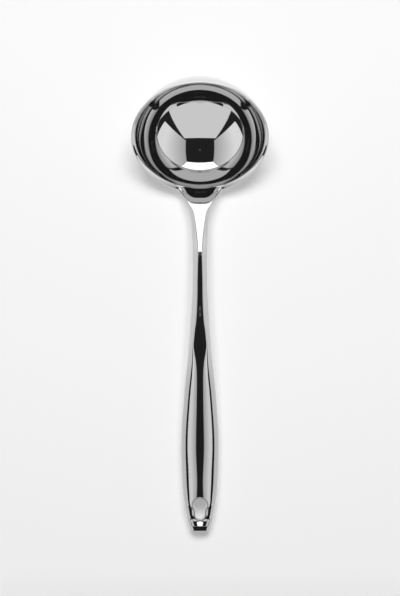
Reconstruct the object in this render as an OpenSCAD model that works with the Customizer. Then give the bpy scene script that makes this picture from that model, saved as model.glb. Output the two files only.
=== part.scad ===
// Soup ladle of polished stainless steel, lying on a table as it does when it is put down.
// X runs across the ladle, +Y towards the bowl, and the table is the plane z = 0.
// s is the distance from the handle's free end, measured along Y.

/* [Whole ladle] */
// Length over everything as the ladle lies
overall_l = 317; // [300:1:335]
// Tilt of the rim when the ladle lies on a table
tilt = 41; // [36:0.5:46]

/* [Bowl] */
// Radius of the lip's outer edge
rim_r = 47.4; // [44:0.1:50]
// How far the lip's outer edge lies beyond the inside of the bowl's wall
lip_reach = 2.8; // [2:0.1:4]
// Inner depth of the bowl below the start of the lip
bowl_depth = 33.5; // [30:0.5:37]
// Thickness of the bowl's sheet
bowl_sheet = 1.2; // [0.8:0.1:1.6]
// Radius of the bend that flares the lip
lip_bend_r = 3; // [2:0.5:4]
// Angle of the lip's edge above the rim plane
lip_angle = 33; // [25:1:45]

/* [Handle] */
// Thickness of the two handle shells
shell_wall = 1; // [0.7:0.1:1.4]
// Where the shells meet the shank, from the handle's end
joint_s = 133; // [125:1:140]
// Length of the tang inside the hollow handle
tang_l = 26; // [15:1:40]
// Clearance of the tang in the hollow handle
tang_gap = 0.3; // [0.2:0.05:0.5]

/* [Neck] */
// Steepness of the flanks beside the crest of the neck and handle
flank_angle = 50; // [45:1:60]

/* [Hanging hole] */
// Radius of the hole's wide end
hole_head_r = 5.1; // [4.5:0.1:5.5]
// Radius of the hole's narrow end
hole_foot_r = 3.6; // [3:0.1:4]
// Centre of the wide end, from the handle's end
hole_head_s = 18.7; // [18:0.1:20]
// Centre of the narrow end, from the handle's end
hole_foot_s = 11.3; // [11:0.1:12.5]
// Radius of the hollows between the wide and the narrow end
hole_blend_r = 3; // [2:0.5:4]
// Wall of the tube that lines the hole
liner_wall = 0.8; // [0.5:0.1:1]

/* [Hidden] */
$fn = 96;
flank_n = 5;
crown_n = 7;
arc_n = 2 * (flank_n + crown_n);
lip_n = 5;
bowl_n = 26;
wall_n = 4 * bowl_n;
edge_n = 6;
station_step = 3.2;
end_step = 0.8;
end_zone = 8;
steel = [0.76, 0.77, 0.78];
steel_dark = [0.6, 0.61, 0.63];

end_y = -overall_l / 2;

// Slope of the bowl's wall against the rim plane, by the share of the way from its middle to the lip
wall_slope_at = [[0, 0], [0.22, 12], [0.43, 26], [0.64, 43.5], [0.8, 59], [0.92, 71.5], [1, 88]];
// Half-width of the handle and neck at distance s from the handle's end
width_at = [
  [0, 5.2], [0.5, 6], [1.6, 6.8], [3.7, 7.75], [7.2, 8.8], [14.3, 10.2], [21.4, 11.4], [35, 12.5], [64, 13.2],
  [92, 11.5], [127, 8.1], [162, 5.4], [183, 4.75], [197, 4.9], [210, 5.4], [219, 5.9], [224, 6.5], [228, 7.2],
  [231, 7.9], [234, 9.1], [236.5, 10.3], [238.5, 12.1], [240.5, 14], [242.5, 15], [245, 15.6], [252, 16],
];
// Half-width of the crest between the two flanks
crest_at = [
  [0, 4.5], [1.6, 4.75], [3.7, 5.1], [7.2, 5.9], [14.3, 7.4], [21.4, 8.5], [35, 9.6], [64, 10.2], [92, 8.5],
  [110, 6.75], [120, 5.75], [128, 5.2], [132, 4.9], [135, 4.6], [142, 3.9], [149, 2.9], [163, 2.1], [177, 1.9],
  [191, 1.55], [198, 1.4], [205, 1.75], [212, 2.5], [219, 3.6], [226, 4.9], [230, 6.5], [232, 7.4], [234.3, 8.5],
  [236.4, 9.6], [238.5, 11.2], [240.5, 13], [242.5, 13.9], [245, 14.5], [252, 15],
];
// Steepness of the crest at its edge: it is crowned on the handle, flat on the neck and rounded off by the lip
crown_at = [
  [0, 0.3], [3, 0.35], [6, 0.6], [12, 0.85], [20, 0.9], [118, 0.9], [123, 0.86], [127, 0.4], [130.5, 0.06],
  [134, 0.05], [216, 0.05], [226, 0.15], [232, 0.35], [237, 0.45], [240, 0.45], [243, 0.15], [245, 0.05], [252, 0.05],
];
// Power of the crest's steepness: more keeps its middle flatter
power_at = [[0, 1.15], [60, 1.15], [95, 1.15], [110, 1.35], [124, 1.9], [134, 1], [205, 1], [222, 3],
  [252, 3]];
// Height of the top line
top_at = [
  [0, 11.8], [0.25, 12.3], [0.8, 12.75], [2, 13.6], [3.2, 14.4], [4.5, 15.2], [6, 15.9], [8, 16.8], [10, 17.7],
  [14, 19.2], [24, 21.8], [46, 23], [64, 23.9], [92, 26], [108, 27.7], [125, 29.6], [143, 30.8], [160, 30.9],
  [178, 30], [189, 28.8], [196, 27.6], [203, 26.15], [212, 24.25], [220, 22.4], [226, 20.9], [228, 20.25],
  [230, 19.45], [232, 18.45], [234, 17.25], [236, 15.85], [238, 14.3], [240, 12.6], [242.7, 10], [246, 6.4], [252, -1],
];
// Height of the bottom line
bottom_at = [
  [0, 6], [1.5, 4.4], [4, 3.2], [14, 1.2], [35, 0.3], [46, 0], [57, 0.3], [64, 0.9], [92, 5.2], [108, 9.8],
  [127, 16.4], [143, 20.3], [162, 21.9], [178, 22.2], [197, 20.3], [206, 18.9], [215, 17.3], [222, 15.9],
  [228, 14.2], [232, 12.6], [236, 10.2], [239, 7.8], [241.5, 7], [244.5, 6.9], [252, 6.9],
];
// Where the neck ends inside the bowl's sheet, and the place and height of the lip's nearest point in the tables
table_end = 244.5;
table_lip_s = 238.64;
table_lip_z = 10.42;
// Where the neck begins to follow the lip's curve, and over what length
follow_from = 216;
follow_l = 18;
// Share of the handle's height below the seam
seam_share = 0.45;
// Squareness of the section below the seam: 2 is an ellipse
section_curve = 2.1;
// Widest crest and deepest flank that a section allows
crest_max = 0.92;
flank_max = 0.98;

// Slope of a table's curve at its point i
function knot_slope(t, i) =
  let(a = max(i - 1, 0), b = min(i + 1, len(t) - 1)) (t[b][1] - t[a][1]) / (t[b][0] - t[a][0]);

// Smooth curve through a table's points
function curve(t, s, i = 0) =
  s > t[i + 1][0] && i < len(t) - 2 ? curve(t, s, i + 1) :
  let(
    h = t[i + 1][0] - t[i][0],
    u = (s - t[i][0]) / h,
    m0 = knot_slope(t, i) * h,
    m1 = knot_slope(t, i + 1) * h
  )
  (2 * u ^ 3 - 3 * u ^ 2 + 1) * t[i][1] + (u ^ 3 - 2 * u ^ 2 + u) * m0
  + (3 * u ^ 2 - 2 * u ^ 3) * t[i + 1][1] + (u ^ 3 - u ^ 2) * m1;

// Rise from 0 to 1 with level ends
function ease(u) = let(v = min(max(u, 0), 1)) v * v * (3 - 2 * v);

// Wall of the bowl as [radius, depth below its start], stepped along its slope and brought to size
bowl_r = rim_r - lip_reach;
function wall_way(i) = let(a = curve(wall_slope_at, (i + 0.5) / wall_n)) [cos(a), sin(a)];
wall_raw = [for (i = 0, p = [0, 0]; i <= wall_n; p = p + wall_way(i), i = i + 1) p];
body = [for (i = [0:bowl_n])
  let(p = wall_raw[i * wall_n / bowl_n])
  [p[0] * bowl_r / wall_raw[wall_n][0], bowl_depth * (1 - p[1] / wall_raw[wall_n][1])]];

// Half of the bowl's profile as [radius, depth below the rim plane], from the middle to the lip
lip_from = atan2(body[bowl_n - 1][1] - body[bowl_n][1], body[bowl_n][0] - body[bowl_n - 1][0]);
lip_mid = [body[bowl_n][0] + lip_bend_r * sin(lip_from), body[bowl_n][1] + lip_bend_r * cos(lip_from)];
lip = [for (i = [1:lip_n])
  let(a = lip_from + (lip_angle - lip_from) * i / lip_n)
  [lip_mid[0] - lip_bend_r * sin(a), lip_mid[1] - lip_bend_r * cos(a)]];
lip_end = lip[lip_n - 1];
edge_run = max(rim_r - bowl_sheet / 2 - lip_end[0], 0.1);
edge = [lip_end[0] + edge_run, lip_end[1] - edge_run * tan(lip_angle)];
raw_profile = concat(body, lip, [edge]);
profile = [for (p = raw_profile) [p[0], p[1] - edge[1]]];
profile_n = len(profile);

// Outward normal of the profile at point i, square to the chord beside it
function profile_normal(i) =
  i == 0 ? [0, 1] :
  let(
    a = profile[max(i - 1, 0)],
    b = profile[min(i + 1, profile_n - 1)],
    d = b - a
  )
  [-d[1], d[0]] / norm(d);

outer_profile = [for (i = [0:profile_n - 1]) profile[i] + bowl_sheet * profile_normal(i)];
edge_mid = (profile[profile_n - 1] + outer_profile[profile_n - 1]) / 2;
edge_turn = atan2(profile[profile_n - 1][1] - edge_mid[1], profile[profile_n - 1][0] - edge_mid[0]);
edge_arc = [for (i = [1:edge_n - 1])
  let(a = edge_turn + 180 * i / edge_n) edge_mid + bowl_sheet / 2 * [cos(a), sin(a)]];

// The tilted bowl stands on the table and reaches the far end of the ladle
rim_z = max([for (p = outer_profile) p[1] * cos(tilt) + p[0] * sin(tilt)]);
rim_y = overall_l / 2 - max([for (p = outer_profile) p[0] * cos(tilt) + p[1] * sin(tilt)]);
lip_s = rim_y - rim_r * cos(tilt) - end_y;
lip_z = rim_z - rim_r * sin(tilt);

// Where s falls in the tables, which are stretched between the shells and the lip
table_share = (table_lip_s - joint_s) / (lip_s - joint_s);
function in_table(s) = s < joint_s ? s : joint_s + (s - joint_s) * table_share;
neck_end_s = joint_s + (table_end - joint_s) / table_share;

// How much the neck is raised to meet the lip
function rise(s) = (lip_z - table_lip_z) * ease((in_table(s) - joint_s) / (table_lip_s - joint_s));

function half_w(s) = curve(width_at, in_table(s));
function top_z(s) = curve(top_at, in_table(s)) + rise(s);
function bottom_z(s) = curve(bottom_at, in_table(s)) + rise(s);
function seam_z(s) = bottom_z(s) + seam_share * (top_z(s) - bottom_z(s));

// How far the round lip falls back at x in the rim plane, and how much of that the neck follows at s
function fall_back(x) = rim_r - sqrt(rim_r ^ 2 - min(abs(x), 0.9 * rim_r) ^ 2);
function follow(s) = ease((in_table(s) - follow_from) / follow_l);

// How much the neck's section at s is raised at x, so that it runs along the lip like its middle does
function lip_lift(s, x) =
  (fall_back(x) * sin(tilt) + top_z(s - fall_back(x) * cos(tilt)) - top_z(s)) * follow(s);

// Point of a superellipse quarter at angle a, for semi-axes w and h
function oval(w, h, a, p) =
  [w * sign(cos(a)) * abs(cos(a)) ^ (2 / p), h * sign(sin(a)) * abs(sin(a)) ^ (2 / p)];

// Stations along the handle, closer near its rounded end
function stations(a, b, step = station_step) =
  let(
    fine_to = min(end_zone, b),
    fine = a < fine_to ? [for (s = [a:end_step:fine_to - end_step / 2]) s] : [],
    from = max(a, fine_to),
    n = max(1, ceil((b - from) / step))
  )
  concat(fine, [for (i = [0:n]) from + (b - from) * i / n]);

// Quarter of the upper section at s as [x, z], from the side to the middle of the top
function upper_quarter(s, inset) =
  let(
    w = half_w(s) - inset,
    top = top_z(s) - inset,
    low = seam_z(s),
    t = in_table(s),
    f = min(curve(crest_at, t) - inset / 2, crest_max * w),
    steep = curve(crown_at, t),
    p = curve(power_at, t) + 1,
    edge_z = top - steep * f / p,
    drop = min((w - f) * tan(flank_angle), flank_max * (edge_z - low)),
    flank = [for (k = [0:flank_n])
      let(u = k / flank_n)
      [w * (1 - u ^ 2) + f * u ^ 2,
        low * (1 - u) ^ 2 + (edge_z - drop) * 2 * u * (1 - u) + edge_z * u ^ 2]],
    crown = [for (k = [1:crown_n])
      let(v = 1 - k / crown_n) [f * v, top - steep * f * v ^ p / p]]
  )
  [for (q = concat(flank, crown)) [q[0], q[1] + lip_lift(s, q[0])]];

// Half of the handle's section at s, from side to side: up is 1 for the upper half and -1 for the lower
function half_arc(s, up, inset = 0) =
  up > 0 ?
  let(q = upper_quarter(s, inset), last = len(q) - 1)
  concat([for (p = q) [p[0], end_y + s, p[1]]], [for (k = [last - 1:-1:0]) [-q[k][0], end_y + s, q[k][1]]]) :
  let(h = seam_z(s) - bottom_z(s) - inset)
  [for (k = [0:arc_n])
    let(q = oval(half_w(s) - inset, h, 180 * k / arc_n, section_curve))
    [q[0], end_y + s, seam_z(s) - q[1] + lip_lift(s, q[0])]];

// Two triangles for each cell of a grid of rows whose points start at index base
function grid_faces(rows, cols, base, flip) =
  [for (i = [0:rows - 2], j = [0:cols - 2], t = [0, 1])
    let(
      a = base + i * cols + j,
      b = a + 1,
      c = a + cols,
      d = c + 1,
      f = t == 0 ? [a, c, b] : [b, c, d]
    )
    flip ? [f[2], f[1], f[0]] : f];

// One pressed half of the hollow handle, closed at its end and open at the shank
module half_shell(up) {
  ss = stations(0, joint_s);
  n = len(ss);
  e = len([for (s = ss) if (s < 1.5 * shell_wall) s]);
  outer_rows = [for (s = ss) half_arc(s, up)];
  m = len(outer_rows[0]);
  last = m - 1;
  outer = [for (r = outer_rows) each r];
  inner = [for (i = [e:n - 1]) each half_arc(ss[i], up, shell_wall)];
  o = function(i, j) i * m + j;
  q = function(i, j) n * m + (i - e) * m + j;
  outside = grid_faces(n, m, 0, up > 0);
  inside = grid_faces(n - e, m, n * m, up < 0);
  turn = function(f) up > 0 ? f : [for (k = [len(f) - 1:-1:0]) f[k]];
  end_face = turn([for (j = [last:-1:0]) o(0, j)]);
  back_face = turn([for (j = [0:last]) q(e, j)]);
  end_seam = [for (i = [0:e - 2], t = [0, 1])
    turn(t == 0 ? [o(i, 0), o(i + 1, 0), o(i + 1, last)] : [o(i, 0), o(i + 1, last), o(i, last)])];
  last_seam = turn([o(e - 1, 0), o(e, 0), q(e, 0), q(e, last), o(e, last), o(e - 1, last)]);
  seams = [for (i = [e:n - 2], t = [0, 1], side = [0, last])
    let(f = t == 0 ? [o(i, side), o(i + 1, side), q(i, side)] : [q(i, side), o(i + 1, side), q(i + 1, side)])
    turn(side == 0 ? f : [f[2], f[1], f[0]])];
  joint_face = [for (j = [0:last - 1], t = [0, 1])
    turn(t == 0 ? [o(n - 1, j), o(n - 1, j + 1), q(n - 1, j)] : [q(n - 1, j), o(n - 1, j + 1), q(n - 1, j + 1)])];
  polyhedron(
    concat(outer, inner),
    concat(outside, inside, [end_face, back_face], end_seam, [last_seam], seams, joint_face),
    convexity = 6
  );
}

// Whole section of the handle at s as one closed ring
function ring(s, inset = 0) =
  let(up = half_arc(s, 1, inset), down = half_arc(s, -1, inset))
  concat([for (k = [0:len(up) - 2]) up[k]], [for (k = [arc_n:-1:1]) down[k]]);

// Triangles that close a ring of m points, between its upper and its lower half
function cap_faces(m, base, flip) =
  let(
    upper = [for (k = [0:m / 2 - 2]) [k, k + 1, m - k - 1]],
    lower = [for (k = [1:m / 2 - 1]) [k, m - k - 1, m - k]]
  )
  [for (f = concat(upper, lower)) [for (j = flip ? [2, 1, 0] : [0, 1, 2]) base + f[j]]];

// Solid through a list of closed rings with equal numbers of points
module loft(rings) {
  n = len(rings);
  m = len(rings[0]);
  sides = [for (i = [0:n - 2], j = [0:m - 1], t = [0, 1])
    let(a = i * m + j, b = i * m + (j + 1) % m, c = a + m, d = b + m)
    t == 0 ? [a, b, c] : [b, d, c]];
  polyhedron(
    [for (r = rings) each r],
    concat(sides, cap_faces(m, 0, true), cap_faces(m, (n - 1) * m, false)),
    convexity = 6
  );
}

module at_rim() {
  translate([0, rim_y, rim_z]) rotate([tilt, 0, 0]) children();
}

// Keyhole outline of the hanging hole, grown by extra, with hollows where its two ends meet
module hole_outline(extra = 0) {
  foot_w = 2 * hole_foot_r;
  translate([0, end_y]) offset(r = extra) offset(r = -hole_blend_r) offset(r = hole_blend_r) {
    translate([0, hole_head_s]) circle(hole_head_r);
    translate([0, hole_foot_s]) circle(hole_foot_r);
    translate([-hole_foot_r, hole_foot_s]) square([foot_w, hole_head_s - hole_foot_s]);
  }
}

// Prism of the hole's outline through the whole height of the handle
through_from = -5;
through_h = 40;
module through_handle() {
  translate([0, 0, through_from]) linear_extrude(through_h) children();
}

// Sheet of the bowl, turned about its axis
module turned_sheet() {
  points = concat(profile, edge_arc, [for (i = [profile_n - 1:-1:0]) outer_profile[i]]);
  at_rim() rotate_extrude() polygon([for (p = points) [max(p[0], 0), -p[1]]]);
}

// Pressed bowl with its flared lip
module bowl() {
  color(steel) turned_sheet();
}

// Solid neck that spreads into the lip at one end and ends in the tang at the other
fine_step = 1.2;
fine_from = follow_from + follow_l / 2;
module shank() {
  inset = shell_wall + tang_gap;
  tang = [for (s = [joint_s - tang_l, joint_s - tang_l / 2, joint_s]) ring(s, inset)];
  slow = stations(joint_s, fine_from);
  fast = [for (s = stations(fine_from, neck_end_s, fine_step)) if (s > fine_from) s];
  neck = [for (s = concat(slow, fast)) ring(s)];
  color(steel) difference() {
    loft(concat(tang, neck));
    turned_sheet();
  }
}

module upper_shell() {
  color(steel) difference() {
    half_shell(1);
    through_handle() hole_outline(liner_wall);
  }
}

module lower_shell() {
  color(steel) difference() {
    half_shell(-1);
    through_handle() hole_outline(liner_wall);
  }
}

// Tube that joins the two shells round the hanging hole, trimmed to the handle's outside
liner_margin = 4;
module hanger_liner() {
  reach = hole_head_s + hole_head_r + liner_margin;
  color(steel_dark) intersection() {
    through_handle() difference() {
      hole_outline(liner_wall);
      hole_outline();
    }
    loft([for (s = stations(0, reach)) ring(s)]);
  }
}

bowl();
shank();
upper_shell();
lower_shell();
hanger_liner();
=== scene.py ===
"""Looks of a polished steel soup ladle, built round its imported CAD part.

All shapes are worked out in millimetres in the part's own frame and turned into metres when a mesh is made.
A distance s is measured along the ladle from the handle's free end.
"""
import logging
import math
from dataclasses import dataclass
from enum import Enum
from typing import Sequence

import bpy
import numpy as np
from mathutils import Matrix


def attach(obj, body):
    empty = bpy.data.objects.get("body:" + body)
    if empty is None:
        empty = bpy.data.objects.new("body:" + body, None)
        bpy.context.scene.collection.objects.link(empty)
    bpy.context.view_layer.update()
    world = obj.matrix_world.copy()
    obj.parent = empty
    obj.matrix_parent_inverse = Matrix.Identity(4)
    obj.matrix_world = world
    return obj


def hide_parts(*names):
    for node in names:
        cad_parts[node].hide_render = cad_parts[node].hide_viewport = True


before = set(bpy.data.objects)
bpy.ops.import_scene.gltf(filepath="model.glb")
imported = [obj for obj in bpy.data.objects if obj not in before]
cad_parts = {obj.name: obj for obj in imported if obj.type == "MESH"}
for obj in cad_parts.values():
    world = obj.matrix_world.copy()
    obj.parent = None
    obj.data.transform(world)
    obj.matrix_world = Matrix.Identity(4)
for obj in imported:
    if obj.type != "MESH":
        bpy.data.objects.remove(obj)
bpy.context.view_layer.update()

log = logging.getLogger("ladle")
MM = 0.001
# Length of the whole ladle as it lies, and the Y of the handle's free end
OVERALL = 317.0
END_Y = -OVERALL / 2
Pair = tuple[float, float]
Triple = tuple[float, float, float]


class Slot(Enum):
    """Material slots of the record."""

    POLISHED = "polished_steel"
    LINER = "liner_steel"


class Side(Enum):
    """Halves of the hollow handle, each with the sign of its outside's direction."""

    UPPER = 1
    LOWER = -1


def smooth_step(share: np.ndarray) -> np.ndarray:
    """Rises from 0 to 1 with level ends while the share goes from 0 to 1."""
    return share**2 * (3 - 2 * share)


@dataclass(frozen=True)
class Track:
    """Smooth curve through knots, with the slope at a knot taken from its neighbours.

    Args:
        knots: Pairs of distance and value, in rising order of distance.
    """

    knots: tuple[tuple[float, float], ...]

    def at(self, s: np.ndarray | float) -> np.ndarray:
        """Values of the curve.

        Args:
            s: Distances at which the curve is read.

        Returns:
            The values, with the shape of s.
        """
        table = np.array(self.knots, float)
        x, y = table[:, 0], table[:, 1]
        before = np.maximum(np.arange(len(x)) - 1, 0)
        after = np.minimum(np.arange(len(x)) + 1, len(x) - 1)
        slope = (y[after] - y[before]) / (x[after] - x[before])
        s = np.asarray(s, float)
        i = np.clip(np.searchsorted(x, s, side="left") - 1, 0, len(x) - 2)
        gap = x[i + 1] - x[i]
        u = (s - x[i]) / gap
        return (
            (2 * u**3 - 3 * u**2 + 1) * y[i]
            + (u**3 - 2 * u**2 + u) * (slope[i] * gap)
            + (3 * u**2 - 2 * u**3) * y[i + 1]
            + (u**3 - u**2) * (slope[i + 1] * gap)
        )


@dataclass(frozen=True)
class BowlForm:
    """Measures of the bowl in millimetres and degrees, the same as the CAD part's.

    Args:
        tilt: Angle between the rim plane and the table.
        rim_r: Outer radius of the lip.
        bowl_r: Inner radius of the bowl where the lip starts to bend outwards.
        depth: Depth of the bowl below that place.
        sheet: Thickness of the sheet.
        lip_bend_r: Radius of the lip's bend.
        lip_angle: Angle between the lip and the rim plane.
        least_edge: Shortest straight edge that the lip may end in.
        wall_slope: Slope of the wall along its length, which runs from 0 to 1.
        wall_points: Points in which the wall is worked out.
        wall_stride: Every how many of those points the mesh has one.
        lip_points: Points of the lip's bend, its start among them.
        edge_points: Points of the lip's straight edge, its start among them.
        round_step: Angle between the points of the lip's rounded edge.
    """

    tilt: float = 41
    rim_r: float = 47.4
    bowl_r: float = 44.6
    depth: float = 33.5
    sheet: float = 1.2
    lip_bend_r: float = 3
    lip_angle: float = 33
    least_edge: float = 0.1
    wall_slope: Track = Track((
        (0, 0), (0.22, 12), (0.43, 26), (0.64, 43.5), (0.8, 59), (0.92, 71.5), (1, 88),
    ))
    wall_points: int = 401
    wall_stride: int = 4
    lip_points: int = 25
    edge_points: int = 7
    round_step: float = 15

    def profile(self) -> tuple[np.ndarray, np.ndarray, np.ndarray]:
        """Half of the bowl's section as pairs of radius and depth below the rim plane.

        Returns:
            The inside, the lip's rounded edge, and the outside. Both sides run from the middle to the lip.
        """
        slope = np.radians(self.wall_slope.at(np.linspace(0, 1, self.wall_points)))
        steps = np.stack([np.cos(slope), -np.sin(slope)], -1)
        wall = np.concatenate([[(0, 0)], np.cumsum((steps[1:] + steps[:-1]) / 2, axis=0)])
        wall[:, 0] *= self.bowl_r / wall[-1, 0]
        wall[:, 1] *= -self.depth / wall[-1, 1]
        wall = wall[:: self.wall_stride] + (0, self.depth)
        run = wall[-1] - wall[-2]
        start = math.degrees(math.atan2(-run[1], run[0]))
        turn = np.radians(np.linspace(start, self.lip_angle, self.lip_points)[1:])
        start_way = np.array([math.sin(math.radians(start)), math.cos(math.radians(start))])
        bend_middle = wall[-1] + self.lip_bend_r * start_way
        lip = bend_middle - self.lip_bend_r * np.stack([np.sin(turn), np.cos(turn)], -1)
        rest = max(self.rim_r - self.sheet / 2 - lip[-1, 0], self.least_edge)
        steps = np.linspace(0, rest, self.edge_points)[1:, None]
        straight = lip[-1] + steps * np.array([1, -math.tan(math.radians(self.lip_angle))])
        inside = np.concatenate([wall, lip, straight])
        inside[:, 1] -= inside[-1, 1]
        along = np.gradient(inside, axis=0)
        along[0] = (1, 0)
        normal = np.stack([-along[:, 1], along[:, 0]], -1)
        normal /= np.linalg.norm(normal, axis=1, keepdims=True)
        outside = inside + self.sheet * normal
        edge_middle = (inside[-1] + outside[-1]) / 2
        first = math.atan2(*(inside[-1] - edge_middle)[::-1])
        sweep = first + np.radians(np.arange(self.round_step, 180, self.round_step))
        edge = edge_middle + self.sheet / 2 * np.stack([np.cos(sweep), np.sin(sweep)], -1)
        return inside, edge, outside

    def place(self) -> tuple[float, float]:
        """Y and Z of the middle of the rim plane, so that the bowl stands on the table and ends the ladle.

        Returns:
            The two coordinates.
        """
        outside = self.profile()[2]
        tilt = math.radians(self.tilt)
        drop = np.max(outside[:, 1] * math.cos(tilt) + outside[:, 0] * math.sin(tilt))
        reach = np.max(outside[:, 0] * math.cos(tilt) + outside[:, 1] * math.sin(tilt))
        return OVERALL / 2 - float(reach), float(drop)

    def to_profile(self, points: np.ndarray) -> np.ndarray:
        """Turns points of the part's frame into radius and depth below the rim plane.

        Args:
            points: Points with a last axis of three.

        Returns:
            Pairs of radius and depth.
        """
        y, z = self.place()
        tilt = math.radians(self.tilt)
        away = points - np.array([0, y, z])
        up = away[..., 1] * math.cos(tilt) + away[..., 2] * math.sin(tilt)
        depth = -(-away[..., 1] * math.sin(tilt) + away[..., 2] * math.cos(tilt))
        return np.stack([np.hypot(away[..., 0], up), depth], -1)

    def rim_fall(self, x: np.ndarray) -> np.ndarray:
        """Distance that the round lip falls back, in the rim plane, beside its nearest place.

        Args:
            x: Distances from the middle plane. Past nine tenths of the radius the distance stays the same.

        Returns:
            Distances.
        """
        x = np.clip(np.abs(x), 0, 0.9 * self.rim_r)
        return self.rim_r - np.sqrt(self.rim_r**2 - x**2)


@dataclass(frozen=True)
class HoleForm:
    """Measures of the hanging hole in millimetres, the same as the CAD part's.

    Args:
        head_r: Radius of the wide end.
        foot_r: Radius of the narrow end.
        blend_r: Radius of the hollow curve between the ends.
        head_s: Distance s of the wide end's middle.
        foot_s: Distance s of the narrow end's middle.
        arc_points: Points in which each arc is worked out.
    """

    head_r: float = 5.1
    foot_r: float = 3.6
    blend_r: float = 3
    head_s: float = 18.7
    foot_s: float = 11.3
    arc_points: int = 60

    def middle(self) -> np.ndarray:
        """Place half-way between the middles of the two ends, as x and distance s."""
        return np.array([0, (self.head_s + self.foot_s) / 2])

    def outline(self, extra: float, count: int) -> np.ndarray:
        """Keyhole outline, anticlockwise and evenly spaced, from the wide end's furthest place.

        Args:
            extra: Distance by which the outline is grown.
            count: Number of points.

        Returns:
            Pairs of x and distance s.
        """
        foot, head, blend = self.foot_r + extra, self.head_r + extra, self.blend_r - extra
        drop = math.sqrt((head + blend) ** 2 - (foot + blend) ** 2)
        lean = math.atan2(drop, foot + blend)
        half = np.concatenate([
            self._arc((0, self.foot_s), foot, (-math.pi / 2, 0)),
            self._arc((foot + blend, self.head_s - drop), blend, (math.pi, math.pi - lean)),
            self._arc((0, self.head_s), head, (-lean, math.pi / 2)),
        ])
        whole = np.concatenate([half[::-1] * (-1, 1), half[1:]])
        along = np.concatenate([[0], np.cumsum(np.linalg.norm(np.diff(whole, axis=0), axis=1))])
        wanted = np.arange(count) / count * along[-1]
        return np.stack([np.interp(wanted, along, whole[:, k]) for k in (0, 1)], -1)

    def _arc(self, middle: Pair, radius: float, angles: Pair) -> np.ndarray:
        """Points of an arc.

        Args:
            middle: Its middle, as x and distance s.
            radius: Its radius.
            angles: Angles at which it starts and ends.

        Returns:
            Pairs of x and distance s.
        """
        a = np.linspace(*angles, self.arc_points)
        return np.stack([middle[0] + radius * np.cos(a), middle[1] + radius * np.sin(a)], -1)


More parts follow.
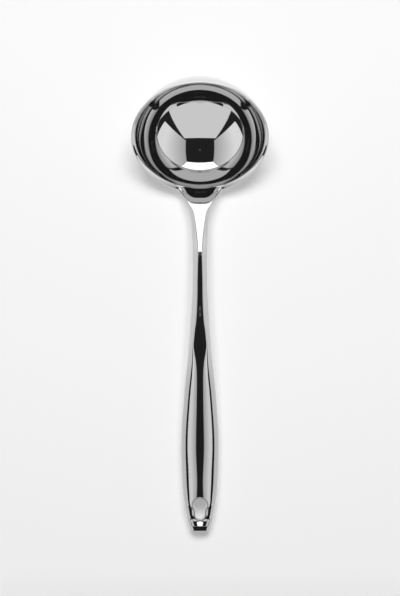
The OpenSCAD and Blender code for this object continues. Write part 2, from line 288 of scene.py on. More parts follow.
@dataclass(frozen=True)
class GripForm:
    """Outside of the handle and neck, in millimetres and degrees.

    The measures follow the CAD part's. For the sake of the reflections the width, the top line and the crown
    differ a little from it near the handle's free end, where the shells meet the neck, and before the lip.
    The dish and the creases' rounding are only here.

    Args:
        bowl: The bowl that the neck runs into.
        joint_s: Distance s at which the shells meet the neck.
        seam_share: Height of the seam between the shells, from 0 at the bottom to 1 on top.
        section_curve: Power of the rounded lower section.
        flank_angle: Steepness of the upper section's flank at its crease.
        crease_turn: Quarter turns at which the crease lies.
        facet_limit: Largest share of the half-width that the crown takes.
        drop_limit: Largest share of the crease's height over the seam that the flank takes.
        dish_depth: Depth of the dish in the top between the free end and the hanging hole's foot.
        dish_half: Half of its width.
        dish_start: Distance s at which it starts.
        dish_fall: Length over which it reaches its depth.
        dish_turn: Distance s at which it starts to rise again.
        dish_rise: Length over which it ends.
        follow_s: Distance s from which the neck follows the lip's curve.
        follow_length: Length over which it comes to follow all of it.
        crease_round: Quarter turns over which the crease is rounded, along the ladle.
        width: Half-widths along the ladle.
        top: Heights of the top line.
        bottom: Heights of the bottom line.
        facet: Half-widths of the crown between the creases.
        crown_rise: Steepness of the crown at the crease.
        crown_power: Power of the crown's curve, large where only its edges bend.
        flank_columns: Mesh columns on the flank.
        crease_columns: Mesh columns on the crease.
        crown_columns: Mesh columns on half of the crown.
        crease_reach: Quarter turns on each side of the crease that have the close columns.
    """

    bowl: BowlForm = BowlForm()
    joint_s: float = 133
    seam_share: float = 0.45
    section_curve: float = 2.1
    flank_angle: float = 50
    crease_turn: float = 0.55
    facet_limit: float = 0.92
    drop_limit: float = 0.98
    dish_depth: float = 1.7
    dish_half: float = 7.5
    dish_start: float = 3.5
    dish_fall: float = 3.4
    dish_turn: float = 7
    dish_rise: float = 7
    follow_s: float = 216
    follow_length: float = 18
    crease_round: Track = Track(((0, 0.1), (100, 0.1), (118, 0.07), (126, 0.05), (132, 0.05), (260, 0.05)))
    width: Track = Track((
        (0, 5.2), (0.5, 6), (1.6, 6.8), (3.7, 7.75), (7.2, 8.8), (14.3, 10.2), (21.4, 11.4), (35, 12.5),
        (64, 13.2), (92, 11.5), (127, 8.1), (162, 5.4), (183, 4.75), (197, 4.9), (210, 5.4), (219, 5.9),
        (224, 6.7), (228, 7.8), (231, 8.8), (234, 10.2), (236.5, 11.7), (238.5, 13.3), (240.5, 15),
        (242.5, 16), (245, 16.3), (252, 16.5),
    ))
    top: Track = Track((
        (0, 12), (1, 12.95), (2, 13.85), (3, 14.65), (3.35, 14.93), (3.5, 15), (3.65, 15.03), (5, 15.22),
        (6.9, 15.5), (8.5, 16.05), (10, 16.75), (14, 18.6), (19, 20.6), (24, 21.8), (46, 23), (64, 23.9),
        (92, 26), (108, 27.7), (125, 29.6), (143, 30.8), (160, 30.9), (178, 30), (189, 28.8), (196, 27.6),
        (203, 26.2), (212, 24.4), (220, 22.8), (226, 21.55), (228, 20.95), (229, 20.55), (230, 20.08),
        (231, 19.53), (232, 18.92), (233, 18.22), (234, 17.45), (236, 15.85), (238, 14.2), (240, 12.5),
        (242.7, 10.05), (246, 6.4), (252, -1),
    ))
    bottom: Track = Track((
        (0, 6), (1.5, 4.4), (4, 3.2), (14, 1.2), (35, 0.3), (46, 0), (57, 0.3), (64, 0.9), (92, 5.2),
        (108, 9.8), (127, 16.4), (143, 20.3), (162, 21.9), (178, 22.2), (197, 20.3), (206, 18.9),
        (215, 17.3), (222, 15.9), (228, 14.2), (232, 12.6), (236, 10.2), (239, 7.8), (241.5, 7),
        (244.5, 6.9), (252, 6.9),
    ))
    facet: Track = Track((
        (0, 4.3), (1.6, 4.6), (3.7, 5.1), (7.2, 6), (10.5, 6.75), (14.3, 7.4), (21.4, 8.5), (35, 9.6),
        (64, 10.2), (92, 8.5), (110, 6.75), (120, 5.75), (128, 5.2), (132, 4.9), (135, 4.6), (142, 3.9),
        (149, 2.9), (163, 2.1), (177, 1.9), (191, 1.55), (198, 1.4), (205, 1.75), (212, 2.5), (219, 3.6),
        (226, 5.3), (230, 7.4), (232, 8.4), (234.3, 9.7), (236.4, 11), (238.5, 12.6), (240.5, 14.2),
        (242.5, 15.1), (245, 15.4), (252, 15.6),
    ))
    crown_rise: Track = Track((
        (0, 0.1), (3, 0.25), (6.8, 0.45), (9, 0.8), (12, 0.9), (22, 0.9), (100, 0.9), (112, 0.96), (120, 1),
        (126, 1), (128.8, 0.9), (130.6, 0.3), (132, 0.06), (134, 0.05), (216, 0.05), (226, 0.15),
        (232, 0.35), (237, 0.45), (240, 0.45), (243, 0.15), (245, 0.05), (252, 0.05),
    ))
    crown_power: Track = Track((
        (0, 2), (4, 1.6), (8, 1.6), (11, 2.8), (15, 2.8), (24, 1.15), (60, 1.15), (95, 1.15), (110, 1.4),
        (118, 2), (123, 3.2), (127, 6), (130, 10), (134, 10), (137, 4), (141, 1.2), (146, 1), (205, 1),
        (222, 3), (252, 3),
    ))
    flank_columns: int = 25
    crease_columns: int = 23
    crown_columns: int = 17
    crease_reach: float = 0.09

    def seam(self, s: np.ndarray | float) -> np.ndarray:
        """Height of the seam between the handle's halves.

        Args:
            s: Distances along the ladle.

        Returns:
            Heights above the table.
        """
        low = self.bottom.at(s)
        return low + self.seam_share * (self.top.at(s) - low)

    def skin(self, s: np.ndarray, turn: np.ndarray) -> np.ndarray:
        """Points of the outside.

        Args:
            s: Distances along the ladle.
            turn: Quarter turns round the section, 0 on the right and 1 on top.

        Returns:
            Points with a last axis of three.
        """
        s, turn = np.broadcast_arrays(np.asarray(s, float), np.mod(np.asarray(turn, float), 4))
        upper = turn <= 2
        share = np.where(upper, np.where(turn <= 1, turn, 2 - turn), np.where(turn <= 3, turn - 2, 4 - turn))
        side = np.where((turn <= 1) | (turn > 3), 1.0, -1.0)
        power = 2 / self.section_curve
        seam, top = self.seam(s), self.top.at(s)
        angle = share * math.pi / 2
        round_x = self.width.at(s) * np.cos(angle) ** power
        low_z = seam + (self.bottom.at(s) - seam) * np.sin(angle) ** power
        high_x, high_z = self._upper_section(s, share)
        x = np.where(upper, high_x, round_x)
        z = np.where(upper, high_z - self._dish(round_x, s), low_z)
        tilt, fall = math.radians(self.bowl.tilt), self.bowl.rim_fall(x)
        back = self.top.at(s - fall * math.cos(tilt)) - top
        follow = smooth_step(np.clip((s - self.follow_s) / self.follow_length, 0, 1))
        z = z + (fall * math.sin(tilt) + back) * follow
        return np.stack([side * x, END_Y + s, z], -1)

    def _dish(self, x: np.ndarray, s: np.ndarray) -> np.ndarray:
        """Depth of the dish between the handle's free end and the foot of the hanging hole.

        Args:
            x: Distances from the middle plane.
            s: Distances along the ladle.

        Returns:
            Depths.
        """
        fall = np.clip((s - self.dish_start) / self.dish_fall, 0, 1)
        beside = np.clip(np.abs(x) / self.dish_half, 0, 1)
        past = np.clip((s - self.dish_turn) / self.dish_rise, 0, 1)
        return self.dish_depth * fall * (1 - smooth_step(beside)) * (1 - past)

    def _upper_section(self, s: np.ndarray, share: np.ndarray) -> tuple[np.ndarray, np.ndarray]:
        """Quarter of the upper section: a steep flank, a crease and a crown, which is flat on the neck.

        Args:
            s: Distances along the ladle.
            share: Place in the quarter, 0 at the side and 1 in the middle of the top.

        Returns:
            Distances from the middle plane and heights.
        """
        seam, top, width = self.seam(s), self.top.at(s), self.width.at(s)
        facet = np.minimum(self.facet.at(s), self.facet_limit * width)
        rise, power = self.crown_rise.at(s), self.crown_power.at(s)
        edge_z = top - rise * facet / (power + 1)
        slant = (width - facet) * math.tan(math.radians(self.flank_angle))
        drop = np.minimum(slant, self.drop_limit * (edge_z - seam))

        def flank(u: np.ndarray) -> tuple[np.ndarray, np.ndarray]:
            """Points of the flank.

            Args:
                u: Places on it, 0 at the seam and 1 at the crease.

            Returns:
                Distances from the middle plane and heights.
            """
            u = np.clip(u, 0, 1)
            x = width * (1 - u**2) + facet * u**2
            z = seam * (1 - u) ** 2 + (edge_z - drop) * 2 * u * (1 - u) + edge_z * u**2
            return x, z

        def crown(u: np.ndarray) -> tuple[np.ndarray, np.ndarray]:
            """Points of the crown.

            Args:
                u: Places on it, 0 at the crease and 1 in the middle.

            Returns:
                Distances from the middle plane and heights.
            """
            away = 1 - np.clip(u, 0, 1)
            return facet * away, top - rise * facet * away ** (power + 1) / (power + 1)

        crease, reach = self.crease_turn, self.crease_round.at(s)
        flank_x, flank_z = flank(share / crease)
        crown_x, crown_z = crown((share - crease) / (1 - crease))
        x, z = np.where(share < crease, flank_x, crown_x), np.where(share < crease, flank_z, crown_z)
        u = np.clip((share - crease + reach) / (2 * reach), 0, 1)
        from_x, from_z = flank((crease - reach) / crease)
        to_x, to_z = crown(reach / (1 - crease))
        round_x = from_x * (1 - u) ** 2 + facet * 2 * u * (1 - u) + to_x * u**2
        round_z = from_z * (1 - u) ** 2 + edge_z * 2 * u * (1 - u) + to_z * u**2
        near = np.abs(share - crease) < reach
        return np.where(near, round_x, x), np.where(near, round_z, z)

    def skin_normal(self, s: np.ndarray, turn: np.ndarray) -> np.ndarray:
        """Outward normals of the outside, from the points close by.

        Args:
            s: Distances along the ladle.
            turn: Quarter turns round the section.

        Returns:
            Unit vectors with a last axis of three.
        """
        s_step, turn_step, least_length = 0.05, 0.002, 1e-12
        lengthways = self.skin(s + s_step, turn) - self.skin(np.maximum(s - s_step, 0), turn)
        across = self.skin(s, turn + turn_step) - self.skin(s, turn - turn_step)
        normal = np.cross(lengthways, across)
        return normal / np.maximum(np.linalg.norm(normal, axis=-1, keepdims=True), least_length)

    def turn_of(self, x: np.ndarray, s: np.ndarray, side: Side) -> np.ndarray:
        """Quarter turns round the section of a point given by its place seen from above.

        Args:
            x: Distances from the middle plane.
            s: Distances along the ladle.
            side: Half of the handle that the point lies on.

        Returns:
            Quarter turns.
        """
        width = self.width.at(s)
        if side is Side.LOWER:
            part = np.clip(np.abs(x) / width, 0, 1) ** (self.section_curve / 2)
            return 4 - np.arccos(np.sign(x) * part) * 2 / math.pi
        crease = self.crease_turn
        facet = np.minimum(self.facet.at(s), self.facet_limit * width)
        inner = crease + (1 - np.clip(np.abs(x) / facet, 0, 1)) * (1 - crease)
        outer = crease * np.sqrt(np.clip((width - np.abs(x)) / (width - facet), 0, 1))
        turn = np.where(np.abs(x) < facet, inner, outer)
        return np.where(x < 0, 2 - turn, turn)

    def columns(self) -> np.ndarray:
        """Quarter turns of the columns of one half's mesh, close together at the creases.

        Returns:
            Values from 0 to 2.
        """
        low, high = self.crease_turn - self.crease_reach, self.crease_turn + self.crease_reach
        quarter = np.concatenate([
            np.linspace(0, low, self.flank_columns)[:-1],
            np.linspace(low, high, self.crease_columns)[:-1],
            np.linspace(high, 1, self.crown_columns),
        ])
        return np.concatenate([quarter, 2 - quarter[-2::-1]])


def add_mesh(
    name: str, points: np.ndarray, faces: Sequence[Sequence[int]], normals: np.ndarray | None = None
) -> bpy.types.Object:
    """Makes a smooth mesh object.

    Args:
        name: Name of the object.
        points: Corners in millimetres, with a last axis of three.
        faces: Corner numbers of each face.
        normals: Normal at each corner, or None for the mesh's own.

    Returns:
        The object.
    """
    mesh = bpy.data.meshes.new(name)
    mesh.from_pydata((points.reshape(-1, 3) * MM).tolist(), [], [list(map(int, face)) for face in faces])
    mesh.polygons.foreach_set("use_smooth", [True] * len(mesh.polygons))
    mesh.update()
    if normals is not None:
        mesh.normals_split_custom_set_from_vertices(normals.reshape(-1, 3).tolist())
    obj = bpy.data.objects.new(name, mesh)
    bpy.context.scene.collection.objects.link(obj)
    return obj


def grid_faces(rows: int, cols: int, closed: bool = False) -> list[tuple[int, int, int, int]]:
    """Faces of a grid of points stored row by row.

    Args:
        rows: Number of rows.
        cols: Number of points in a row.
        closed: Whether the last point of a row joins its first.

    Returns:
        Corner numbers of each face.
    """
    last = cols if closed else cols - 1
    return [
        (i * cols + j, i * cols + (j + 1) % cols, (i + 1) * cols + (j + 1) % cols, (i + 1) * cols + j)
        for i in range(rows - 1)
        for j in range(last)
    ]


@dataclass(frozen=True)
class SteelFinish:
    """How a polished steel surface looks.

    Args:
        name: Name of the material.
        slot: Slot of the record that it belongs to; not used.
        tone: Red, green and blue of the reflection.
        roughness: Roughness of the polish.
        haze: Roughness that smears add.
        relief: Height of the fine scratches in millimetres.
        blend: Y in metres from which and to which the tone turns into the neck's, or None.
    """

    name: str
    slot: Slot
    tone: Triple
    roughness: float
    haze: float
    relief: float
    blend: Pair | None = None


POLISHED = SteelFinish("polished_steel", Slot.POLISHED, (0.68, 0.68, 0.68), 0.028, 0.03, 0.0015)
# The handle's steel has a darker tone than the bowl's. This is painted shade: it stands for the dimmer panel
# light that the handle reflects, and it turns into the neck's tone where the shells meet the neck.
SHADED_HANDLE = SteelFinish("handle_steel_painted_shade", Slot.POLISHED, (0.58, 0.58, 0.58), 0.028, 0.03, 0.0015, (-0.06, -0.026))
LINER = SteelFinish("liner_steel", Slot.LINER, (0.36, 0.365, 0.37), 0.12, 0.05, 0.002)


@dataclass(frozen=True)
class PolishWear:
    """Smears and fine scratches that all the steel shares.

    Args:
        smear_scale: Smears in a metre.
        smear_detail: Octaves of the smears.
        scratch_scale: Scratches in a metre across, along and through the ladle.
        scratch_detail: Octaves of the scratches.
        strength: Strength of the scratches' bump.
    """

    smear_scale: float = 38
    smear_detail: float = 4
    scratch_scale: Triple = (9000, 240, 9000)
    scratch_detail: float = 2
    strength: float = 0.1

    def group(self) -> bpy.types.NodeTree:
        """Makes the group that puts out a haze mask and a normal of the scratches.

        Returns:
            The node group.
        """
        group = bpy.data.node_groups.new("polish_wear", "ShaderNodeTree")
        group.interface.new_socket("Relief", in_out="INPUT", socket_type="NodeSocketFloat")
        group.interface.new_socket("Haze", in_out="OUTPUT", socket_type="NodeSocketFloat")
        group.interface.new_socket("Normal", in_out="OUTPUT", socket_type="NodeSocketVector")
        nodes, links = group.nodes, group.links
        given = nodes.new("NodeGroupInput")
        out = nodes.new("NodeGroupOutput")
        coords = nodes.new("ShaderNodeTexCoord")
        smears = nodes.new("ShaderNodeTexNoise")
        smears.inputs["Scale"].default_value = self.smear_scale
        smears.inputs["Detail"].default_value = self.smear_detail
        links.new(coords.outputs["Object"], smears.inputs["Vector"])
        links.new(smears.outputs["Fac"], out.inputs["Haze"])
        stretch = nodes.new("ShaderNodeMapping")
        stretch.inputs["Scale"].default_value = self.scratch_scale
        links.new(coords.outputs["Object"], stretch.inputs["Vector"])
        scratches = nodes.new("ShaderNodeTexNoise")
        scratches.inputs["Scale"].default_value = 1
        scratches.inputs["Detail"].default_value = self.scratch_detail
        links.new(stretch.outputs["Vector"], scratches.inputs["Vector"])
        bump = nodes.new("ShaderNodeBump")
        bump.inputs["Strength"].default_value = self.strength
        links.new(given.outputs["Relief"], bump.inputs["Distance"])
        links.new(scratches.outputs["Fac"], bump.inputs["Height"])
        links.new(bump.outputs["Normal"], out.inputs["Normal"])
        return group


def map_range(
    tree: bpy.types.NodeTree, axis: str, source: Pair, target: Pair, smooth: bool
) -> bpy.types.Node:
    """Adds the nodes that turn a distance along an axis of the object into a value.

    Args:
        tree: Node tree of the material.
        axis: The axis. X counts alike on both sides of the middle plane.
        source: Distances in metres between which the value changes.
        target: Values there.
        smooth: Whether the change starts and ends gently.

    Returns:
        The node with the value as its Result.
    """
    nodes, links = tree.nodes, tree.links
    coords = nodes.new("ShaderNodeTexCoord")
    split = nodes.new("ShaderNodeSeparateXYZ")
    ramp = nodes.new("ShaderNodeMapRange")
    ramp.interpolation_type = "SMOOTHSTEP" if smooth else "LINEAR"
    ramp.inputs["From Min"].default_value, ramp.inputs["From Max"].default_value = source
    ramp.inputs["To Min"].default_value, ramp.inputs["To Max"].default_value = target
    links.new(coords.outputs["Object"], split.inputs["Vector"])
    distance = split.outputs[axis]
    if axis == "X":
        away = nodes.new("ShaderNodeMath")
        away.operation = "ABSOLUTE"
        links.new(distance, away.inputs[0])
        distance = away.outputs["Value"]
    links.new(distance, ramp.inputs["Value"])
    return ramp


def make_steel(finish: SteelFinish, wear_group: bpy.types.NodeTree) -> bpy.types.Material:
    """Makes one steel material.

    Args:
        finish: What it looks like.
        wear_group: The shared group of smears and scratches.

    Returns:
        The material.
    """
    material = bpy.data.materials.new(finish.name)
    material.use_nodes = True
    nodes, links = material.node_tree.nodes, material.node_tree.links
    shader = nodes["Principled BSDF"]
    shader.inputs["Base Color"].default_value = (*finish.tone, 1)
    shader.inputs["Metallic"].default_value = 1
    # The handle's darker tone is painted shade. It turns into the neck's tone along Y.
    if finish.blend:
        tone = map_range(material.node_tree, "Y", finish.blend, (finish.tone[0], POLISHED.tone[0]), True)
        links.new(tone.outputs["Result"], shader.inputs["Base Color"])
    wear = nodes.new("ShaderNodeGroup")
    wear.node_tree = wear_group
    wear.inputs["Relief"].default_value = finish.relief * MM
    rough = nodes.new("ShaderNodeMath")
    rough.operation = "MULTIPLY_ADD"
    rough.inputs[1].default_value = finish.haze
    rough.inputs[2].default_value = finish.roughness
    links.new(wear.outputs["Haze"], rough.inputs[0])
    links.new(rough.outputs["Value"], shader.inputs["Roughness"])
    links.new(wear.outputs["Normal"], shader.inputs["Normal"])
    return material


@dataclass
class SubAssembly:
    """A group of pieces of the ladle.

    Args:
        materials: Material of each finish.
    """

    materials: dict[SteelFinish, bpy.types.Material]

    def take(self, obj: bpy.types.Object, node: str, finish: SteelFinish) -> bpy.types.Object:
        """Puts a finished piece in place of its CAD node.

        Args:
            obj: The piece.
            node: Name of the CAD node.
            finish: Its finish.

        Returns:
            The piece.
        """
        obj.data.materials.append(self.materials[finish])
        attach(obj, "root")
        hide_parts(node)
        return obj


@dataclass
class Bowl(SubAssembly):
    """The pressed bowl with its flared lip.

    Args:
        form: Its measures.
        around: Mesh columns round it.
    """

    form: BowlForm = BowlForm()
    around: int = 320

    def build(self) -> list[bpy.types.Object]:
        """Makes the bowl as a turned sheet, tilted as it lies.

        Returns:
            The one piece.
        """
        inside, edge, outside = self.form.profile()
        section = np.concatenate([inside, edge, outside[::-1]])
        angle = np.arange(self.around) * 2 * math.pi / self.around
        tilt = math.radians(self.form.tilt)
        right, up = np.array([1.0, 0, 0]), np.array([0, math.cos(tilt), math.sin(tilt)])
        down = np.array([0, math.sin(tilt), -math.cos(tilt)])
        spokes = np.cos(angle)[:, None] * right + np.sin(angle)[:, None] * up
        middle = np.array([0, *self.form.place()])
        points = middle + section[:, 0, None, None] * spokes + section[:, 1, None, None] * down
        faces = grid_faces(len(section), self.around, True)
        return [self.take(add_mesh("bowl_sheet", points, faces), "bowl", POLISHED)]


@dataclass
class Neck(SubAssembly):
    """The solid neck that spreads into the lip.

    Args:
        form: Measures of the handle and neck.
        rows: Mesh rows along it.
        search: Distances s between which its lines may meet the bowl.
        search_points: Points at which each line is tried there.
    """

    form: GripForm = GripForm()
    rows: int = 190
    search: Pair = (225.0, 252.0)
    search_points: int = 540

    def build(self) -> list[bpy.types.Object]:
        """Makes the neck, each line of which ends inside the bowl's sheet.

        Returns:
            The one piece.
        """
        form = self.form
        half = form.columns()
        turn = np.concatenate([half[:-1], 2 + half[:-1]])
        ends = np.array([self._meets_bowl(v) for v in turn])
        share = np.linspace(0, 1, self.rows)[:, None]
        s = form.joint_s + (ends[None, :] - form.joint_s) * share
        turns = np.broadcast_to(turn, s.shape)
        faces = [face[::-1] for face in grid_faces(self.rows, len(turn), True)]
        bar = add_mesh("neck_bar", form.skin(s, turns), faces, form.skin_normal(s, turns))
        return [self.take(bar, "shank", POLISHED)]

    def _meets_bowl(self, turn: float) -> float:
        """Distance s at which a line of the neck is half-way into the bowl's sheet.

        Args:
            turn: Quarter turns of the line round the section.

        Returns:
            The distance.
        """
        bowl = self.form.bowl
        inside, _, outside = bowl.profile()
        sheet_middle = (inside + outside) / 2
        s = np.linspace(*self.search, self.search_points)
        radius, depth = np.moveaxis(bowl.to_profile(self.form.skin(s, np.full_like(s, turn))), -1, 0)
        within = radius < np.interp(depth, sheet_middle[::-1, 1], sheet_middle[::-1, 0])
        below = depth > 0
        crossing = below[1:] & below[:-1] & (within[1:] != within[:-1])
        return float(s[np.argmax(crossing)]) if crossing.any() else self.search[1]


@dataclass
class Handle(SubAssembly):
    """The hollow handle: two shells and the tube that lines the hanging hole.

    Args:
        form: Measures of the handle and neck.
        hole: Measures of the hanging hole.
        liner_wall: Thickness of the liner, which is how far the shells keep from the hole.
        end_zone: Distance s up to which the rows are closest.
        hole_zone: Distances s between which the shells' main grid is cut out.
        hole_turn: Quarter turns at which the cut-out's side lies.
        rows: Mesh rows up to the end zone's end, the cut-out's start, its end, and the neck.
        rings: Rings of points between the cut-out and the hole, the cut-out's border among them.
        outline_points: Points of the hole in a shell before they are matched to the rings.
        liner_points: Points round the liner.
        liner_edge: Steps of the liner's rounded edge, as distances outwards from the hole and into it.
    """

    form: GripForm = GripForm()
    hole: HoleForm = HoleForm()
    liner_wall: float = 0.8
    end_zone: float = 2
    hole_zone: Pair = (5.0, 27.0)
    hole_turn: float = 0.62
    rows: tuple[int, int, int, int] = (9, 19, 45, 110)
    rings: int = 14
    outline_points: int = 720
    liner_points: int = 160
    liner_edge: tuple[Pair, ...] = ((0.8, 0), (0.55, 0), (0.35, 0), (0.17, 0.05), (0.05, 0.17), (0, 0.35))

    def build(self) -> list[bpy.types.Object]:
        """Makes both shells and the liner.

        Returns:
            The three pieces.
        """
        return [self._shell(Side.UPPER, "upper_shell"), self._shell(Side.LOWER, "lower_shell"), self._liner()]

    def _shell(self, side: Side, node: str) -> bpy.types.Object:
        """Makes the skin of one shell with its hole and its closed free end.

        Args:
            side: Which half.
            node: CAD node that it stands for.

        Returns:
            The piece.
        """
        form = self.form
        stops = (0, self.end_zone, *self.hole_zone, form.joint_s)
        zones = [np.linspace(*stops[k:k + 2], count)[:-1] for k, count in enumerate(self.rows)]
        s = np.append(np.concatenate(zones), form.joint_s)
        turn = form.columns()
        cols = len(turn)
        grid_s, grid_turn = np.meshgrid(s, turn if side is Side.UPPER else 4 - turn, indexing="ij")
        points = form.skin(grid_s, grid_turn).reshape(-1, 3)
        normals = form.skin_normal(grid_s, grid_turn).reshape(-1, 3)
        i0, i1 = (int(np.argmin(abs(s - edge))) for edge in self.hole_zone)
        j0 = int(np.argmin(abs(turn - self.hole_turn)))
        j1 = cols - 1 - j0
        faces = [
            face for face in grid_faces(len(s), cols)
            if not (i0 <= face[0] // cols < i1 and j0 <= face[0] % cols < j1)
        ]
        loop = [i0 * cols + j for j in range(j0, j1)] + [i * cols + j1 for i in range(i0, i1)]
        loop += [i1 * cols + j for j in range(j1, j0, -1)] + [i * cols + j0 for i in range(i1, i0, -1)]
        border = np.stack([points[loop, 0], points[loop, 1] - END_Y], -1)
        collar = self._collar(border)
        turns = form.turn_of(collar[..., 0], collar[..., 1], side)
        around, base = len(loop), len(points)
        ids = np.concatenate([[loop], base + np.arange(collar[..., 0].size).reshape(-1, around)])
        faces += [
            (ids[i, j], ids[i, (j + 1) % around], ids[i + 1, (j + 1) % around], ids[i + 1, j])
            for i in range(self.rings - 1)
            for j in range(around)
        ]
        cap = base + collar[..., 0].size
        faces.append(tuple(range(cap, cap + cols)))
        points = np.concatenate([points, form.skin(collar[..., 1], turns).reshape(-1, 3), points[:cols]])
        collar_normals = form.skin_normal(collar[..., 1], turns).reshape(-1, 3)
        normals = np.concatenate([normals, collar_normals, np.tile([0.0, -1, 0], (cols, 1))])
        if side is Side.UPPER:
            faces = [face[::-1] for face in faces]
        return self.take(add_mesh(node + "_skin", points, faces, normals), node, SHADED_HANDLE)

    def _collar(self, border: np.ndarray) -> np.ndarray:
        """Rings of places that lead from the cut-out's border in to the hole.

        Args:
            border: Places of the border, as pairs of x and distance s.

        Returns:
            The rings' places, the border itself left out.
        """
        outline = self.hole.outline(self.liner_wall, self.outline_points)
        centre = self.hole.middle()
        angle = np.arctan2(*(outline - centre).T[::-1])
        order = np.argsort(angle)
        wanted = np.arctan2(*(border - centre).T[::-1])
        inner = np.stack(
            [np.interp(wanted, angle[order], outline[order, k], period=2 * math.pi) for k in (0, 1)], -1
        )
        shares = np.linspace(1, 0, self.rings)[1:, None, None]
        return inner + (border - inner) * shares

    def _liner(self) -> bpy.types.Object:
        """Makes the tube of the hanging hole with a small rounded edge at both ends.

        Returns:
            The piece.
        """
        form, count = self.form, self.liner_points
        rows: list[np.ndarray] = []
        for side, steps in ((Side.UPPER, self.liner_edge), (Side.LOWER, self.liner_edge[::-1])):
            for grow, drop in steps:
                flat = self.hole.outline(grow, count)
                spot = form.skin(flat[:, 1], form.turn_of(flat[:, 0], flat[:, 1], side))
                spot[:, 2] -= drop * side.value
                rows.append(spot)
        faces = grid_faces(len(rows), count, True)
        last = (len(rows) - 1) * count
        faces += [(last + j, last + (j + 1) % count, (j + 1) % count, j) for j in range(count)]
        return self.take(add_mesh("hole_liner", np.array(rows), faces), "hanger_liner", LINER)


@dataclass(frozen=True)
class Softbox:
    """A flat panel that gives light of its own, which the steel reflects.

    Args:
        name: Name of the object.
        level: Brightness.
        corners: Corners in millimetres.
        fade: Distances from the middle plane, in metres, over which half the level grows to all of it.
    """

    name: str
    level: float
    corners: tuple[Triple, Triple, Triple, Triple]
    fade: Pair | None = None

    def make(self) -> bpy.types.Object:
        """Makes the panel.

        Returns:
            The object.
        """
        obj = add_mesh(self.name, np.array(self.corners, float), [(0, 1, 2, 3)])
        obj.data.materials.append(glow(self.name, self.level, self.fade))
        return obj


def glow(name: str, level: float, fade: Pair | None = None) -> bpy.types.Material:
    """Makes a material that only gives light, but doesn't light the floor, even by way of the steel.

    Args:
        name: Name of the material.
        level: Brightness.
        fade: Distances from the middle plane, in metres, over which half the level grows to all of it.

    Returns:
        The material.
    """
    material = bpy.data.materials.new(name)
    material.use_nodes = True
    nodes, links = material.node_tree.nodes, material.node_tree.links
    nodes.clear()
    shader = nodes.new("ShaderNodeEmission")
    path = nodes.new("ShaderNodeLightPath")
    direct = nodes.new("ShaderNodeMath")
    direct.operation = "LESS_THAN"
    direct.inputs[1].default_value = 0.5
    links.new(path.outputs["Diffuse Depth"], direct.inputs[0])
    strength = nodes.new("ShaderNodeMath")
    strength.operation = "MULTIPLY"
    strength.inputs[1].default_value = level
    links.new(direct.outputs["Value"], strength.inputs[0])
    links.new(strength.outputs["Value"], shader.inputs["Strength"])
    if fade:
        ramp = map_range(material.node_tree, "X", fade, (level / 2, level), False)
        links.new(ramp.outputs["Result"], strength.inputs[1])
    out = nodes.new("ShaderNodeOutputMaterial")
    links.new(shader.outputs["Emission"], out.inputs["Surface"])
    return material


# Distances from the middle plane, in metres, over which the side panels grow brighter
SIDE_FADE = (2.2, 4.5)
PANELS = (
    Softbox(
        "panel_near",
        0.84,
        ((-2471, -2480, 5100), (2471, -2480, 5100), (6402, -8736, 0), (-6402, -8736, 0)),
    ),
    Softbox(
        "panel_far",
        1.93,
        ((-2197, 2175, 5100), (2197, 2175, 5100), (7380, 8000, 600), (-7380, 8000, 600)),
    ),
    Softbox(
        "panel_left",
        1.0,
        ((-2190, -1997, 5100), (-2190, 2714, 5100), (-6000, 4230, 600), (-6000, -5250, 1500)),
        SIDE_FADE,
    ),
    Softbox(
        "panel_right",
        0.98,
        ((2190, -1997, 5100), (2190, 2714, 5100), (6000, 4230, 600), (6000, -5250, 1500)),
        SIDE_FADE,
    ),
)
# Low black card beyond the handle's free end, which the steel there reflects
END_CARD = Softbox("black_flag", 0.02, ((-140, -195, 0), (140, -195, 0), (140, -195, 32), (-140, -195, 32)))


@dataclass(frozen=True)
class FloorFinish:
    """How the pale floor looks.

    Args:
        tone: Grey of the paper.
        own_light: Light of its own, in place of the panels' light, which doesn't reach it.
        seen_y: Y in metres between which its brightness in the steel changes.
        seen_level: Its brightness in the steel at those places. It is lower on the handle's side, as a
            painted shadow of the ladle on the floor.
    """

    tone: float = 0.6
    own_light: float = 0.37
    seen_y: Pair = (0.05, 0.2)
    seen_level: Pair = (0.8, 1.12)

    def make(self) -> bpy.types.Material:
        """Makes the material, which the steel sees at a brightness of its own, lower near the handle as a
        painted shadow.

        Returns:
            The material.
        """
        material = bpy.data.materials.new("floor")
        material.use_nodes = True
        nodes, links = material.node_tree.nodes, material.node_tree.links
        shader = nodes["Principled BSDF"]
        shader.inputs["Base Color"].default_value = (self.tone, self.tone, self.tone, 1)
        shader.inputs["Emission Color"].default_value = (1, 1, 1, 1)
        shader.inputs["Emission Strength"].default_value = self.own_light
        shader.inputs["Roughness"].default_value = 1
        shader.inputs["Specular IOR Level"].default_value = 0
        path = nodes.new("ShaderNodeLightPath")
        seen = nodes.new("ShaderNodeEmission")
        # The steel sees the floor darker on the handle's side. This is a painted shadow of the ladle in the
        # reflection.
        ramp = map_range(material.node_tree, "Y", self.seen_y, self.seen_level, True)
        links.new(ramp.outputs["Result"], seen.inputs["Strength"])
        mix = nodes.new("ShaderNodeMixShader")
        links.new(path.outputs["Is Glossy Ray"], mix.inputs["Fac"])
        links.new(shader.outputs["BSDF"], mix.inputs[1])
        links.new(seen.outputs["Emission"], mix.inputs[2])
        links.new(mix.outputs["Shader"], nodes["Material Output"].inputs["Surface"])
        return material


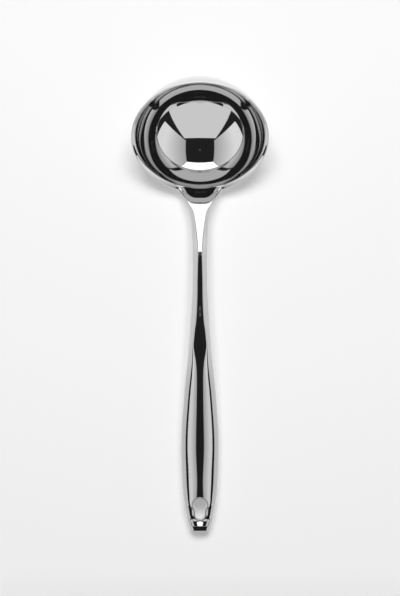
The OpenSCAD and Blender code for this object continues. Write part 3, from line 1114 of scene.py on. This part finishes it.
@dataclass
class Studio:
    """Floor, panels, light and camera round the ladle.

    Args:
        camera_height: Height of the camera over the table in millimetres.
        camera_y: Place of the camera along the ladle in millimetres.
        picture_height: Height of the picture in pixels.
        scale: Pixels for each millimetre on the table.
        sensor: Width of the camera's sensor in millimetres.
        floor_half: Half of the floor's side in millimetres.
        floor_finish: How the floor looks.
        ring_radii: Inner and outer radius of the lens's faint ring in millimetres.
        ring_rise: Height of the ring over the camera in millimetres.
        ring_level: Brightness of the ring's glow, which is painted light for the lens's lit rim.
        ring_points: Points round the ring.
        key_size: Sides of the soft light in metres.
        key_power: Its power in watts.
        key_place: Its place in metres.
        key_lean: Angle in radians by which it leans towards the table.
        room_tone: Grey of the dark room.
    """

    camera_height: float = 1500
    camera_y: float = 5.8
    picture_height: int = 596
    scale: float = 1.4057
    sensor: float = 36
    floor_half: float = 4000
    floor_finish: FloorFinish = FloorFinish()
    ring_radii: Pair = (30, 42)
    ring_rise: float = 5
    ring_level: float = 0.2
    ring_points: int = 32
    key_size: Pair = (0.9, 0.65)
    key_power: float = 34
    key_place: Triple = (0, 0.74, 1.68)
    key_lean: float = -0.5
    room_tone: float = 0.02

    def build(self) -> None:
        """Makes everything round the object."""
        self._camera()
        self._floor()
        for panel in PANELS:
            panel.make().visible_diffuse = False
        self._lens_ring()
        card = END_CARD.make()
        card.visible_camera = False
        card.visible_shadow = False
        self._key()
        self._room()
        log.info("studio: %d panels", len(PANELS))

    def _camera(self) -> None:
        """Sets the camera straight over the ladle."""
        data = bpy.data.cameras.new("camera")
        data.sensor_width = self.sensor
        data.lens = self.sensor * self.camera_height / (self.picture_height / self.scale)
        camera = bpy.data.objects.new("camera", data)
        camera.location = (0, self.camera_y * MM, self.camera_height * MM)
        bpy.context.scene.collection.objects.link(camera)
        bpy.context.scene.camera = camera

    def _floor(self) -> None:
        """Makes the pale floor."""
        half = self.floor_half
        corners = np.array([(-half, -half, 0.0), (half, -half, 0), (half, half, 0), (-half, half, 0)])
        obj = add_mesh("floor", corners, [(0, 1, 2, 3)])
        obj.data.materials.append(self.floor_finish.make())

    def _lens_ring(self) -> None:
        """Makes the faint ring of the camera's lens that the steel reflects. Its glow is painted light for
        the lens's lit rim.
        """
        angle = np.linspace(0, 2 * math.pi, self.ring_points + 1)[:-1]
        height = np.full_like(angle, self.camera_height + self.ring_rise)
        rows = [
            np.stack([radius * np.cos(angle), self.camera_y + radius * np.sin(angle), height], -1)
            for radius in self.ring_radii
        ]
        obj = add_mesh("lens_ring", np.concatenate(rows), grid_faces(2, self.ring_points, True))
        # The lens ring glows faintly. This is painted light standing for its lit rim, as the steel sees it.
        obj.data.materials.append(glow("lens_ring", self.ring_level))

    def _key(self) -> None:
        """Makes the soft light over the table, which the steel doesn't mirror."""
        data = bpy.data.lights.new("key", "AREA")
        data.shape = "RECTANGLE"
        data.size, data.size_y = self.key_size
        data.energy = self.key_power
        light = bpy.data.objects.new("key", data)
        light.location = self.key_place
        light.rotation_euler = (self.key_lean, 0, 0)
        light.visible_glossy = False
        bpy.context.scene.collection.objects.link(light)

    def _room(self) -> None:
        """Makes the dark room and sets how the picture's tones are shown."""
        bpy.context.scene.view_settings.view_transform = "Standard"
        world = bpy.data.worlds.new("dark_room")
        world.use_nodes = True
        tone = self.room_tone
        world.node_tree.nodes["Background"].inputs["Color"].default_value = (tone, tone, tone, 1)
        bpy.context.scene.world = world


def main() -> None:
    """Builds the ladle's looks and the studio."""
    logging.basicConfig(level=logging.INFO, format="%(name)s: %(message)s")
    log.info("frame: %d CAD nodes", len(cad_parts))
    wear_group = PolishWear().group()
    materials = {finish: make_steel(finish, wear_group) for finish in (POLISHED, SHADED_HANDLE, LINER)}
    for sub_assembly in (Bowl, Neck, Handle):
        for piece in sub_assembly(materials).build():
            log.info("%s: %d faces", piece.name, len(piece.data.polygons))
    Studio().build()


if __name__ == "__main__":
    main()
